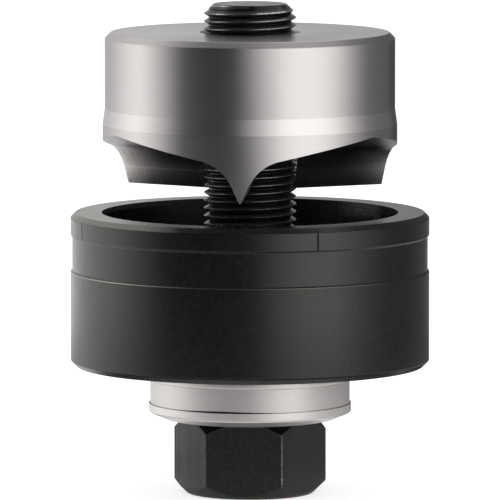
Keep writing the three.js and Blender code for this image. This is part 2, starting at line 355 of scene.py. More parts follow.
def arc(centre, radius, start, end, steps):
    """Rows of (radius, height, 0) along part of a circle, between two angles in degrees."""
    angles = [math.radians(start + (end - start) * step / steps) for step in range(steps + 1)]
    return [(centre[0] + radius * math.cos(a), centre[1] + radius * math.sin(a), 0.0) for a in angles]


def turned(outline):
    """A ring turned from a closed outline that runs up the outside and down the inside."""
    net = Net()
    net.loop([net.column(a, outline) for a in round_azimuths(RING_COLUMNS)])
    return net


def thread_column(net, azimuth, pitch, low, high, radius_at, foot=None):
    """One column of a right-hand thread from low to high, on its foot where that point is already there.
    radius_at gives the radius for a depth share and a height. The rows' keys count on along the thread."""
    lead = azimuth / TURN
    margin = pitch * 0.01

    def end(height):
        depth = float(np.interp(height / pitch - lead, *zip(*THREAD), period=1))
        return net.point(radius_at(depth, height), azimuth, height)

    column = [(BELOW, end(low) if foot is None else foot)]
    for turn in range(math.floor(low / pitch - lead), math.ceil(high / pitch - lead) + 1):
        for n, (share, depth) in enumerate(THREAD):
            height = pitch * (turn + share + lead)
            if low + margin < height < high - margin:
                wear_and_painted_light = max(0.0, 1 - depth / CREST_SHARE)
                point = net.point(radius_at(depth, height), azimuth, height, wear_and_painted_light)
                column.append((turn * len(THREAD) + n, point))
    return [*column, (ABOVE, end(high))]


# Punch


class Flank:
    """One side of a blade, by distances from its ridge: a flat edge, a straight flank up to the foot of a
    hollow, the hollow about its centre, and a shoulder that rises slowly to the middle of the gullet."""

    def __init__(self, settings):
        self.slope = math.pi / 2 - settings.point_angle / 2
        self.rest = settings.shoulder_angle
        self.radius = settings.gullet_radius
        self.edge = settings.ridge_width / 2
        self.foot = self.edge + settings.point_height / math.tan(self.slope)
        self.centre = self.foot + self.radius * math.sin(self.slope)
        self.centre_height = settings.point_height - self.radius * math.cos(self.slope)
        self.shoulder = self.centre - self.radius * math.sin(self.rest)

    def rise(self, distance):
        """Height of the surface above the blade points."""
        if distance <= self.edge:
            return 0.0
        if distance <= self.foot:
            return (distance - self.edge) * math.tan(self.slope)
        if distance <= self.shoulder:
            return self.centre_height + math.sqrt(self.radius**2 - (self.centre - distance) ** 2)
        past = (distance - self.shoulder) * math.tan(self.rest)
        return self.centre_height + self.radius * math.cos(self.rest) + past

    def rows(self, outer, bore_end, half):
        """Distances at which the surface has a row. Past the bore's end they are evenly spread in azimuth."""
        straight = [self.edge + (self.foot - self.edge) * n / 3 for n in range(3)]
        angles = [self.slope + (self.rest - self.slope) * n / HOLLOW_ROWS for n in range(HOLLOW_ROWS + 1)]
        hollow = [self.centre - self.radius * math.sin(a) for a in angles]
        start = math.asin(bore_end / outer)
        azimuths = [start + (half - start) * n / SHOULDER_ROWS for n in range(1, SHOULDER_ROWS + 1)]
        return [0.0, *straight, *hollow, bore_end, *(outer * math.sin(a) for a in azimuths)]


def cut_gullets(net, settings, low, outer, inner):
    """The milled surface of the gullets and blades.
    Gives its outer edge and its edge round the bore, as lists of (azimuth, point, height)."""
    half = math.pi / settings.blade_count
    flank = Flank(settings)
    bore_end = inner * math.sin(half)
    touch = 1e-9
    points, outer_edge, bore_edge = {}, {}, {}

    def placed(radius, azimuth, distance):
        """One point for each place, so that neighbouring halves share it."""
        height = low + flank.rise(distance)
        key = (round(radius, 7), round(azimuth % TURN, 6) % round(TURN, 6), round(height, 7))
        if key not in points:
            points[key] = net.point(radius, azimuth, height)
            net.across[points[key]] = distance
        return points[key], height

    net.milling = 1.0
    for blade in range(settings.blade_count):
        ridge = settings.first_blade + 2 * half * blade
        for side in (1, -1):
            rows = []
            for distance in flank.rows(outer, bore_end, half):
                azimuth = ridge + side * math.asin(min(1.0, distance / outer))
                out, height = placed(outer, azimuth, distance)
                outer_edge.setdefault(out, (azimuth % TURN, out, height))
                if distance <= bore_end + touch:
                    azimuth = ridge + side * math.asin(min(math.sin(half), distance / inner))
                    within, height = placed(inner, azimuth, distance)
                    bore_edge.setdefault(within, (azimuth % TURN, within, height))
                else:
                    within, _ = placed(distance / math.sin(half), ridge + side * half, distance)
                rows.append((out, within))
            for (out, within), (next_out, next_within) in zip(rows, rows[1:]):
                if side > 0:
                    net.face(out, within, next_within, next_out)
                else:
                    net.face(out, next_out, next_within, within)
    net.milling = 0.0
    return sorted(outer_edge.values()), sorted(bore_edge.values())


def raise_wall(net, settings, edge, outer, high):
    """The ground wall on the gullets' outer edge: cutting land, flare, collar and chamfer.
    Gives its upper edge."""
    collar = outer - settings.relief
    flare_top = high - settings.collar_height
    flare_foot = flare_top - settings.flare_height
    chamfer = settings.top_chamfer
    flare_ease, top_ease = 0.00012, 0.00014
    # The outline's first row only gives the cutting land its direction.
    wall = eased(
        [
            (outer, flare_foot - settings.flare_height, 0),
            (outer, flare_foot, flare_ease),
            (collar, flare_top, flare_ease),
            (collar, high - chamfer, top_ease),
            (collar - chamfer, high, top_ease),
            (collar - 2 * chamfer, high, 0),
        ]
    )[1:]
    columns = []
    for azimuth, foot, height in edge:
        middle = net.point(outer, azimuth, (height + flare_foot) / 2)
        columns.append([(-2, foot), (-1, middle), *net.column(azimuth, wall)])
    net.join_round(columns)
    return [(azimuth, column[-1][1]) for (azimuth, _, _), column in zip(edge, columns)]


def thread_bore(net, settings, pitch, edge, high):
    """The bore on the gullets' inner edge, with its thread and the chamfer at its top.
    Gives its upper edge."""
    inner, chamfer = settings.bore_radius, settings.bore_chamfer
    top = high - chamfer
    fade, ease = 0.0012, 0.00008
    neck = eased([(inner, top, 0), (inner + chamfer, high, ease), (inner + 2 * chamfer, high, 0)])[1:]
    threads, necks = [], []
    for azimuth, foot, height in edge:

        def radius_at(depth, at, start=height):
            cut = min(1.0, max(0.0, (at - start) / fade), max(0.0, (top - at) / fade))
            return inner + settings.groove_depth * cut * (1 - depth)

        column = thread_column(net, azimuth, pitch, height, top, radius_at, foot)
        threads.append(column)
        necks.append([(-1, column[-1][1]), *net.column(azimuth, neck)])
    net.join_round(threads, len(THREAD), inwards=True)
    net.join_round(necks, inwards=True)
    return [(azimuth, column[-1][1]) for (azimuth, _, _), column in zip(edge, necks)]


def build_punch(settings, pitch, material):
    """The punch's mesh: gullets and blades below, ground walls outside, thread inside."""
    net = Net()
    low, high = (corner.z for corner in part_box("punch"))
    outer, inner = settings.hole_diameter / 2, settings.bore_radius
    outer_edge, bore_edge = cut_gullets(net, settings, low, outer, inner)
    top_edge = raise_wall(net, settings, outer_edge, outer, high)
    neck_edge = thread_bore(net, settings, pitch, bore_edge, high)
    middle = [(a, net.point((inner + outer) / 2, a, high)) for a in round_azimuths(TOP_COLUMNS)]
    net.ring(top_edge, middle)
    net.ring(middle, neck_edge)
    return net.piece("punch_ground", material, sharp=17)


# Die


def build_die(settings, material):
    """The die's mesh: a turned cup with scribed lines down its upper land."""
    low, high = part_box("die")
    side, base, rim = high.x, low.z, high.z
    bore, hole = settings.bore_radius, settings.hole_radius
    floor = base + settings.floor_thickness
    band = side - settings.band_depth
    band_top = rim - settings.upper_land
    upper_step = band_top - settings.band_depth
    band_foot = band_top - settings.band_height
    lower_step = band_foot - settings.band_depth
    chamfer, hole_chamfer, cut = settings.rim_chamfer, settings.hole_chamfer, settings.mark_depth
    keen, fine, soft = 0.00003, 0.00008, 0.00018
    fillet = (bore - settings.floor_fillet, floor + settings.floor_fillet)
    outline = eased(
        [
            (hole + hole_chamfer, base, fine),
            (side - settings.base_chamfer, base, soft),
            (side, base + settings.base_chamfer, soft),
            (side, lower_step, fine),
            (band, band_foot, fine),
            (band, upper_step, fine),
            (side - cut, band_top - cut, 0),
            (side, band_top, fine),
            (side, rim - chamfer, fine),
            (side - cut, rim - chamfer + cut, 0),
            (side - chamfer, rim, fine),
            (bore, rim, keen),
            *arc(fillet, settings.floor_fillet, 0, -90, FILLET_ROWS),
            (hole + hole_chamfer, floor, fine),
            (hole, floor - hole_chamfer, fine),
            (hole, base + hole_chamfer, fine),
        ]
    )
    # Painted highlight along the lower step round the die, brightest at the left, and painted shade at the
    # right.
    around = np.radians((0, 15, 38, 50, 62, 90, 120, 180, 240, 270, 325, 342, 360))
    shine = (1.18, 1.45, 1.35, 1.0, -0.4, -0.4, 1.2, 1.2, 1.6, 2.0, 2.0, 1.15, 1.18)
    upper_step_painted_shade, base_chamfer_painted_shade, base_chamfer_painted_shade_swing = -0.1, -0.72, -0.25

    def wear_and_painted_light_at(azimuth, radius, height, wear_and_painted_light):
        """Painted shade: the upper step is dark, and so is the base's chamfer, most of all at the right."""
        if height > rim - 2 * chamfer:
            return wear_and_painted_light
        if abs(height - lower_step) < 2 * fine:
            return wear_and_painted_light * float(np.interp(azimuth, around, shine))
        if upper_step - fine < height < band_top + 1.05 * fine:
            return upper_step_painted_shade
        if height < base + settings.base_chamfer + soft and radius > hole + 2 * hole_chamfer:
            return wear_and_painted_light * (base_chamfer_painted_shade + base_chamfer_painted_shade_swing * math.sin(azimuth))
        return 0.0

    # Each column is an azimuth and whether it lies in a scribed line.
    marks = [settings.first_mark + TURN * n / settings.mark_count for n in range(settings.mark_count)]
    half, lip = settings.mark_width / 2 / side, 0.00006 / side
    places = []
    for azimuth in round_azimuths(DIE_COLUMNS):
        apart = min(abs((azimuth - mark + math.pi) % TURN - math.pi) for mark in marks)
        if apart > 2 * (half + lip):
            places.append((azimuth, False))
    for mark in marks:
        for offset, scribed in ((half + lip, False), (half, False), (0.4 * half, True)):
            places += [((mark - offset) % TURN, scribed), ((mark + offset) % TURN, scribed)]
    net = Net()
    columns = []
    for azimuth, scribed in sorted(places):
        rows = []
        for radius, height, wear_and_painted_light in outline:
            # In a scribed line the land is cut in, and painted shade lies along it.
            if scribed and height > upper_step and radius > side - cut:
                rows.append((side - cut, height, -1.0))
            else:
                rows.append((radius, height, wear_and_painted_light_at(azimuth, radius, height, wear_and_painted_light)))
        columns.append(net.column(azimuth, rows))
    net.loop(columns)
    return net.piece("die_blackened", material, sharp=20)


# Draw screw


def hex_ring(settings):
    """Azimuths, radii and wear round a hexagon with rounded corners."""
    side_angle = math.pi / 3
    half_side = math.tan(side_angle / 2)
    apothem = settings.across_flats / 2
    rounding = settings.corner_rounding
    edge = (apothem - rounding) * half_side
    flat_steps, corner_steps = 10, 5
    places = [(edge * (2 * n / flat_steps - 1), apothem, 0.0) for n in range(flat_steps + 1)]
    places += [(-edge + HOLD, apothem, 0.0), (edge - HOLD, apothem, 0.0)]
    for step in range(1, corner_steps):
        a = side_angle * step / corner_steps
        places.append((edge + rounding * math.sin(a), apothem - rounding + rounding * math.cos(a), 1.0))
    ring = []
    for side in range(6):
        middle = settings.corner_azimuth + side_angle * (side + 0.5)
        for along, out, wear_and_painted_light in places:
            ring.append(((middle + math.atan2(along, out)) % TURN, math.hypot(along, out), wear_and_painted_light))
    return sorted(ring)


def build_head(net, settings):
    """The hex head, chamfered above and below by cones. Gives the edge of its upper face."""
    corner = settings.across_flats / math.sqrt(3)
    base_ring = corner - settings.base_chamfer
    face_ring = corner - settings.face_chamfer
    head = settings.head_height
    ease = 0.00015
    ring = hex_ring(settings)
    columns = []
    for azimuth, radius, wear_and_painted_light in ring:
        # How high the cones cut the side here, which is most at the corners, below and above.
        up = radius - base_ring
        down = max(0.0, radius - face_ring)
        share = min(1.0, down / (3 * ease))
        face_edge = min(radius, face_ring)
        # From the lower face up the side and onto the upper face, with every edge eased.
        rows = [
            (base_ring * 0.5, 0.0, 0.0),
            (base_ring - ease - HOLD, 0.0, 0.0),
            (base_ring - ease, 0.0, 0.0),
            (base_ring + ease * 0.2, ease * 0.6, 0.0),
            (base_ring + ease, ease + 0.00003, 0.0),
            (radius - 2 * ease, up - 2 * ease, 0.0),
            (radius - ease, up - ease, 0.0),
            (radius - ease * 0.25, up + ease * 0.15, 0.15 + 0.3 * wear_and_painted_light),
            (radius, up + ease, 0.5 * wear_and_painted_light),
            (radius, up + 2 * ease, wear_and_painted_light),
            (radius, head / 2, wear_and_painted_light),
            (radius, head - down - 2 * ease, wear_and_painted_light),
            (radius, head - down - ease, 0.1 + 0.6 * wear_and_painted_light),
        ]
        if down > ease:
            rows.append((radius - ease * 0.25, head - down - ease * 0.15, 0.2 + 0.6 * wear_and_painted_light))
        else:
            rows.append((radius - ease * 0.25, head - ease * 0.3, 0.2))
        rows += [
            # The face chamfer's rows carry a painted shadow under the washer, darkest at the corners.
            (radius - ease * (1 + share) / 2, head - down + ease * share - ease * 0.15 * (1 - share), -share),
            (radius - ease * (1 - share) - down * share + ease * share, head - ease * share, -share),
            (face_edge - ease * 1.2, head, 0.0),
            (face_edge - ease * 1.6, head, 0.0),
        ]
        columns.append(net.column(azimuth, rows))
    net.join_round(columns)
    net.fan(net.point(0, 0, 0), [column[0][1] for column in reversed(columns)])
    return [(azimuth, column[-1][1]) for (azimuth, _, _), column in zip(ring, columns)]


def build_stud(net, settings, high):
    """The plain shank, the thread and the chamfered tip. Gives the edge on which it stands."""
    stud, tip = settings.stud_radius, settings.tip_radius
    foot = settings.head_height
    threaded = foot + settings.plain_shank
    tip_foot = high - settings.tip_height
    end = high - 0.00012
    lid = (
        (tip + 0.00004, high - 0.00003, 0.15),
        (tip - 0.00006, high, 0.15),
        (tip - 0.0001, high),
        (tip * 0.55, high),
        (tip * 0.15, high),
    )

    def radius_at(depth, height):
        cut = min(1.0, max(0.0, (height - threaded) / settings.run_in))
        cone = stud - (stud - tip) * max(0.0, (height - tip_foot) / settings.tip_height)
        return min(stud - settings.thread_depth * depth * cut, cone)

    azimuths = round_azimuths(STUD_COLUMNS)
    columns = []
    for azimuth in azimuths:
        shank = net.column(azimuth, ((stud, foot), (stud, foot + HOLD), (stud, threaded - HOLD)))
        thread = thread_column(net, azimuth, settings.pitch, threaded, end, radius_at)
        under = [(BELOW - 3 + row, point) for row, point in shank]
        over = [(ABOVE + 1 + row, point) for row, point in net.column(azimuth, lid)]
        columns.append(under + thread + over)
    net.join_round(columns, len(THREAD))
    net.fan(net.point(0, 0, high), [column[-1][1] for column in columns])
    return [(azimuth, column[0][1]) for azimuth, column in zip(azimuths, columns)]


def build_draw_screw(settings, material):
    """The screw's mesh: hex head, plain shank and right-hand thread, in one piece."""
    net = Net()
    face = build_head(net, settings)
    net.ring(face, build_stud(net, settings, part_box("draw_screw")[1].z))
    return net.piece("draw_screw_threaded", material, sharp=38)


# Bearing


def race(settings, level, ball_radius, spacing, way):
    """The groove in a washer's face, in the order of its outline.
    way is 1 where the balls are above the face, and -1 where they are below it."""
    groove = ball_radius + settings.ball_gap
    half = math.degrees(math.acos(spacing / 2 / groove))
    centre = (settings.ball_circle, level + way * spacing / 2)
    return arc(centre, groove, -90 * way + half, -90 * way - half, RACE_ROWS)


def build_bearing_rings(settings, material):
    """The two washers and the cover."""
    lower_low, lower_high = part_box("bearing_lower_washer")
    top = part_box("bearing_upper_washer")[1].z
    ball_low, ball_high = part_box("ball_01")
    ball_radius = (ball_high.z - ball_low.z) / 2
    spacing = 2 * (ball_radius - settings.race_depth)
    rim, body = lower_high.x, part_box("bearing_cover")[1].x
    foot, lower_face = lower_low.z, lower_high.z
    face = lower_face + spacing
    keen, fine, bright, soft = 0.00002, 0.00006, 0.00008, 0.0002
    bevel_foot_ease, bevel_top_ease = 0.0005, 0.00035
    seat = 0.00001
    lower = eased(
        [
            (settings.lower_bore, foot, fine),
            (rim - settings.bevel_width, foot, bevel_foot_ease),
            (rim, foot + settings.bevel_height, bevel_top_ease),
            (rim, lower_face, keen),
            *race(settings, lower_face, ball_radius, spacing, 1),
            (settings.lower_bore, lower_face, fine),
        ]
    )
    upper = eased(
        [
            (settings.upper_bore, face, fine),
            *race(settings, face, ball_radius, spacing, -1),
            (settings.step_inner, face, 0),
            (settings.step_inner, face - settings.step_height, fine),
            (settings.step_outer, face - settings.step_height, fine),
            (settings.step_outer, face, 0),
            (body - settings.joint_inset, face, 0),
            (body, face + settings.joint_bevel, bright),
            (body, face + 3 * settings.joint_bevel, soft),
            (body - settings.top_slope, top, fine),
            (settings.upper_bore, top, fine),
        ]
    )
    # The gap under the cover is widest near the front and shrinks away from there.
    widest, narrowing = math.radians(-16), 12
    cover = Net()
    columns = []
    for azimuth in round_azimuths(RING_COLUMNS):
        nearness = max(0.0, math.cos(azimuth - widest)) ** narrowing
        edge = lower_face + settings.gap_least + (settings.gap_most - settings.gap_least) * nearness
        outline = [
            (settings.cover_inner, edge, fine),
            (body, edge, keen),
            (body, face - seat, 0),
            (settings.cover_inner, face - seat, fine),
        ]
        columns.append(cover.column(azimuth, eased(outline)))
    cover.loop(columns)
    return [
        turned(lower).piece("bearing_lower_washer_satin", material, sharp=20),
        turned(upper).piece("bearing_upper_washer_satin", material, sharp=20),
        cover.piece("bearing_cover_satin", material, sharp=20),
    ]


def build_ball(name, node, material):
    """A ball in the place of its CAD node."""
    low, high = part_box(node)
    centre = (low + high) / 2
    radius = (high.z - low.z) / 2
    angles = [math.pi * n / BALL_ROWS for n in range(1, BALL_ROWS)]
    outline = [(radius * math.sin(a), -radius * math.cos(a)) for a in angles]
    net = Net()
    columns = [net.column(a, outline) for a in round_azimuths(BALL_COLUMNS)]
    net.join_round(columns)
    net.fan(net.point(0, 0, -radius), [column[0][1] for column in reversed(columns)])
    net.fan(net.point(0, 0, radius), [column[-1][1] for column in columns])
    net.points = [(x + centre.x, y + centre.y, z + centre.z) for x, y, z in net.points]
    return net.piece(name, material, sharp=30)


# Finishes

MICRON = 0.000001


def shade(colour, share):
    return tuple(min(1.0, c * share) for c in colour)


class Nodes:
    """A node tree, built node by node."""

    def __init__(self, tree):
        self.tree = tree

    def add(self, kind, *values, **named):
        """A new node. Values feed its inputs in their order, and a name with a capital letter feeds that one.
        Any other name sets the node itself."""
        node = self.tree.nodes.new(kind)
        for name, value in named.items():
            if name[0].isupper():
                self.feed(node.inputs[name], value)
            else:
                setattr(node, name, value)
        for socket, value in zip(node.inputs, values):
            self.feed(socket, value)
        return node

    def feed(self, socket, value):
        if isinstance(value, bpy.types.NodeSocket):
            self.tree.links.new(value, socket)
        else:
            socket.default_value = (*value, 1.0) if socket.type == "RGBA" else value

    def math(self, operation, *values):
        return self.add("ShaderNodeMath", *values, operation=operation).outputs[0]

    def product(self, *values):
        return reduce(partial(self.math, "MULTIPLY"), values)

    def total(self, *values):
        return reduce(partial(self.math, "ADD"), values)

    def rest(self, share):
        """What a share leaves of one."""
        return self.math("SUBTRACT", 1.0, share)

    def spread(self, value, low, high, to_low, to_high):
        """Maps low..high to to_low..to_high, kept within them."""
        return self.add("ShaderNodeMapRange", value, low, high, to_low, to_high).outputs[0]

    def rise(self, value, low, high, most=1.0):
        """From zero at low to the most at high."""
        return self.spread(value, low, high, 0.0, most)

    def fall(self, value, low, high, most=1.0):
        """From the most at low to zero at high."""
        return self.spread(value, low, high, most, 0.0)

    def attribute(self, name):
        return self.add("ShaderNodeAttribute", attribute_name=name).outputs["Fac"]


class Finish(Nodes):
    """A metal's finish, worked out from the place on the object."""

    def __init__(self, name, **shader):
        self.material = bpy.data.materials.new(name)
        self.material.use_nodes = True
        super().__init__(self.material.node_tree)
        self.set(**shader)
        self.place = self.add("ShaderNodeTexCoord").outputs["Object"]
        self.x, self.y, self.z = self.add("ShaderNodeSeparateXYZ", self.place).outputs

    def set(self, **values):
        """Sets inputs of the shader by their names, in lower case with underscores."""
        sockets = {s.name.lower().replace(" ", "_"): s for s in self.tree.nodes["Principled BSDF"].inputs}
        for name, value in values.items():
            self.feed(sockets[name], value)

    def vector(self, x, y, z=0.0):
        return self.add("ShaderNodeCombineXYZ", x, y, z).outputs[0]

    @cached_property
    def radius(self):
        """Distance from the tool's axis."""
        flat = self.vector(self.x, self.y)
        return self.add("ShaderNodeVectorMath", flat, operation="LENGTH").outputs["Value"]

    def scaled(self, *factors):
        """The place, stretched by a factor along each axis."""
        return self.vector(*map(self.product, (self.x, self.y, self.z), factors))

    def rings(self, pitch, length):
        """A place that changes quickly across turning marks, pitch apart, and slowly along them."""
        across = self.product(self.total(self.radius, self.z), 1 / pitch)
        return self.vector(across, self.product(self.x, 1 / length), self.product(self.y, 1 / length))

    def noise(self, place, scale=1.0, detail=2.0, roughness=0.5):
        inputs = {"Vector": place, "Scale": scale, "Detail": detail, "Roughness": roughness}
        return self.add("ShaderNodeTexNoise", **inputs).outputs[0]

    def mix(self, share, first, second):
        """A colour between two."""
        node = self.add("ShaderNodeMix", share, data_type="RGBA")
        self.feed(node.inputs[6], first)
        self.feed(node.inputs[7], second)
        return node.outputs[2]

    def layers(self, tone, *covers):
        """A tone under covers, each given as the share that it covers and its own tone."""
        for share, cover in covers:
            tone = self.mix(share, tone, cover)
        return tone

    def bumps(self, *layers):
        """Sets the normal from bumps, each given as its height, its depth in microns and its share."""
        normal = None
        for height, depth, share in layers:
            node = self.add("ShaderNodeBump", Height=height, Distance=depth * MICRON, Strength=share)
            if normal is not None:
                self.feed(node.inputs["Normal"], normal)
            normal = node.outputs[0]
        self.set(normal=normal)


def gullet_tone(made, settings, cutter):
    """Milled steel, much darker than the walls and swept in arcs, with painted light at the left, and a
    painted shadow deep under the roof at the right.
    """
    steel = tuple(settings.steel)
    arcs = made.vector(made.product(made.radius, 1400.0), made.product(made.z, 60.0))
    swept = made.noise(arcs, detail=3.0)
    # Painted light on the gullets at the left.
    gullet_painted_light = made.mix(made.rise(swept, 0.35, 0.65), steel, shade(steel, 1.5))
    left, right, right_end, roof = (-0.0275, -0.012), (0.014, 0.02), (0.0258, 0.0272), (0.0685, 0.0705)
    # Painted shadow deep under the roof at the right.
    under_roof = made.product(made.rise(made.z, *roof, 0.8), made.rise(made.x, *right))
    gullet_painted_shadow = made.product(under_roof, made.fall(made.x, *right_end))
    # Where the straight part of a blade's flank meets the hollow, a painted highlight runs along the edge,
    # strongest at the left.
    apart = made.math("ABSOLUTE", made.math("SUBTRACT", made.attribute("across"), Flank(settings).foot))
    crease_painted_highlight = made.product(made.fall(apart, 0.00004, 0.00016), made.spread(made.x, -0.02, 0.005, 0.8, 0.1))
    return made.layers(
        shade(steel, 0.4),
        (made.rise(cutter, 0.35, 0.65), shade(steel, 0.54)),
        (made.rise(swept, 0.35, 0.7, 0.5), shade(steel, 0.8)),
        (made.fall(made.x, *left, 0.75), gullet_painted_light),
        (gullet_painted_shadow, shade(steel, 0.05)),
        (crease_painted_highlight, shade(steel, 1.1)),
    )


def smears_and_painted_reflection_on_top(made):
    """Smears all over the punch's top face, and a painted dark reflection on either side in front of the
    stud.
    """
    front, inner, outer = (-0.018, -0.004), (0.002, 0.0115), (0.0105, 0.02)
    aside = made.math("ABSOLUTE", made.x)
    stud_painted_reflection = made.product(made.fall(made.y, *front), made.rise(aside, *inner), made.fall(aside, *outer, 0.42))
    smears = made.noise(made.scaled(90.0, 35.0, 0.0), detail=3.0)
    return made.math("MAXIMUM", stud_painted_reflection, made.spread(smears, 0.42, 0.66, 0.02, 0.22))


def ground_steel(settings):
    """Cylindrically ground steel with a fine grain, milled in the gullets and polished on the top face.
    The flare has a painted sheen, brighter than the walls next to it. The top's chamfer is matt, with painted
    shade at the right."""
    steel = tuple(settings.steel)
    made = Finish("ground_steel", metallic=1.0, specular_tint=(0.72, 0.72, 0.72))
    around = made.add("ShaderNodeTangent", direction_type="RADIAL", axis="Z").outputs[0]
    made.set(tangent=around, anisotropic=0.3, anisotropic_rotation=0.25)
    milled = made.attribute("milled")
    cloud = made.noise(made.place, 55.0, detail=3.0)
    grain = made.noise(made.place, 2600.0)
    lines = made.noise(made.rings(0.0004, 0.09), detail=3.0)
    fine = made.noise(made.rings(0.00011, 0.03))
    cutter = made.noise(made.vector(made.product(made.attribute("across"), 3800.0), made.z))
    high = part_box("punch")[1].z
    flare_top = high - settings.collar_height
    flare_foot = flare_top - settings.flare_height
    chamfer_foot = high - settings.top_chamfer
    soft, right = 0.00006, (0.004, 0.02)
    over_foot = made.rise(made.z, flare_foot - soft, flare_foot + soft)
    flare = made.product(over_foot, made.fall(made.z, flare_top - soft, flare_top + soft))
    over_side = made.rise(made.z, chamfer_foot, chamfer_foot + 0.0001)
    on_top = made.rise(made.z, high - soft, high - soft / 2)
    # Painted shade on the top's chamfer at the right.
    top_chamfer_painted_shade = made.product(over_side, made.rise(made.x, *right, 0.62), made.rest(on_top))
    walls = made.layers(
        shade(steel, 0.975),
        (made.rise(lines, 0.3, 0.7), shade(steel, 1.02)),
        (made.rise(cloud, 0.35, 0.7, 0.35), shade(steel, 0.93)),
        (made.rise(grain, 0.35, 0.65, 0.3), shade(steel, 1.08)),
        # The flare's painted sheen.
        (flare, shade(steel, 1.24)),
        (top_chamfer_painted_shade, shade(steel, 0.1)),
        # The top face's smears, and its painted dark reflection in front of the stud.
        (made.product(on_top, smears_and_painted_reflection_on_top(made)), shade(steel, 0.3)),
    )
    rough, matt, shine = settings.roughness, 0.22, 0.22
    roughness = made.total(
        made.spread(lines, 0.3, 0.7, rough - 0.006, rough + 0.006),
        made.spread(cloud, 0.3, 0.7, -0.008, 0.012),
        made.product(milled, 0.08),
        made.product(over_side, matt),
        made.product(on_top, -matt - shine * rough),
    )
    made.set(base_color=made.mix(milled, walls, gullet_tone(made, settings, cutter)), roughness=roughness)
    made.bumps((fine, 0.8, 1.0), (grain, 1.2, 1.0), (cutter, 2.0, milled))
    return made.material


def black_oxide(settings):
    """Turned steel under black oxide: satin, with turning marks, cloudy mottling and nicks on the edges.
    Painted light: a highlight along the rim's chamfer at its left and along the lower step, a lighter sheen
    of arcs in the bore at the far right, and shade on the steps, the base's chamfer, the scribed lines and
    low on the side."""
    oxide, painted_highlight_steel = tuple(settings.oxide), (0.46, 0.45, 0.43)
    made = Finish("black_oxide", ior=1.62, specular_tint=(1.0, 0.965, 0.925))
    cloud = made.noise(made.place, 130.0, detail=4.0, roughness=0.6)
    mottle = made.noise(made.place, 900.0, detail=3.0, roughness=0.6)
    speck = made.noise(made.place, 3200.0, detail=1.0)
    nick = made.noise(made.place, 1500.0)
    lines = made.noise(made.rings(0.00022, 0.012), detail=3.0)
    wear_and_painted_light = made.attribute("wear_and_painted_light")
    # Painted highlight along the lower step, where wear passes one.
    step_painted_highlight = made.rise(wear_and_painted_light, 1.0, 2.0)
    bare_and_painted_light = made.product(made.rise(wear_and_painted_light, 0.0, 1.0), made.rise(nick, 0.66, 0.74, 0.8))
    bare_and_painted_light = made.math("MAXIMUM", bare_and_painted_light, made.rise(wear_and_painted_light, 1.0, 2.0, 0.9))
    bore, soft = settings.bore_radius, 0.00005
    outside = made.spread(made.radius, bore - soft, bore + 2 * soft, 0.1, 1.0)
    base, rim = (corner.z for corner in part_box("die"))
    chamfer_foot, left = rim - settings.rim_chamfer, (-0.022, -0.014)
    # Painted highlight along the left of the rim's chamfer.
    rim_painted_highlight = made.product(
        made.fall(made.x, *left, 0.42),
        made.spread(lines, 0.3, 0.7, 0.7, 1.2),
        made.rise(made.z, chamfer_foot - soft, chamfer_foot + soft),
        outside,
    )
    back, top = (0.008, 0.012), (rim - 0.0034, rim - 0.0018)
    right, right_end = (0.018, 0.0225), (0.0258, 0.0272)
    # Painted sheen in the bore at the far right.
    bore_painted_sheen = made.product(
        made.fall(outside, 0.1, 0.9),
        made.rise(made.y, *back),
        made.rise(made.x, *right),
        made.fall(made.x, *right_end),
        made.rise(made.z, *top),
        made.spread(lines, 0.35, 0.65, 0.35, 1.0),
    )
    tone = made.layers(
        shade(oxide, 0.85),
        (made.rise(mottle, 0.4, 0.7), shade(oxide, 1.25)),
        (made.product(made.rise(speck, 0.66, 0.74, 0.25), outside), (0.05, 0.048, 0.045)),
        (bare_and_painted_light, made.mix(step_painted_highlight, (0.3, 0.29, 0.275), painted_highlight_steel)),
        (rim_painted_highlight, painted_highlight_steel),
        (bore_painted_sheen, (0.32, 0.31, 0.3)),
    )
    # Painted shade: less gloss on the steps, the base's chamfer and the scribed lines, and towards the bottom
    # of the side.
    lower_side = (base + 0.003, base + 0.015)
    gloss_and_painted_light = made.product(made.spread(wear_and_painted_light, -1.0, 0.0, 0.12, 0.5), made.spread(made.z, *lower_side, 0.72, 1.0))
    rough = made.total(
        made.spread(mottle, 0.3, 0.7, settings.roughness - 0.015, settings.roughness + 0.02),
        made.spread(cloud, 0.35, 0.65, -0.01, 0.015),
    )
    metal = made.math("MAXIMUM", bare_and_painted_light, rim_painted_highlight)
    made.set(base_color=tone, metallic=metal, specular_ior_level=gloss_and_painted_light, roughness=rough)
    made.bumps((lines, 3.5, made.math("MAXIMUM", outside, 0.3)), (speck, 3.0, outside))
    return made.material


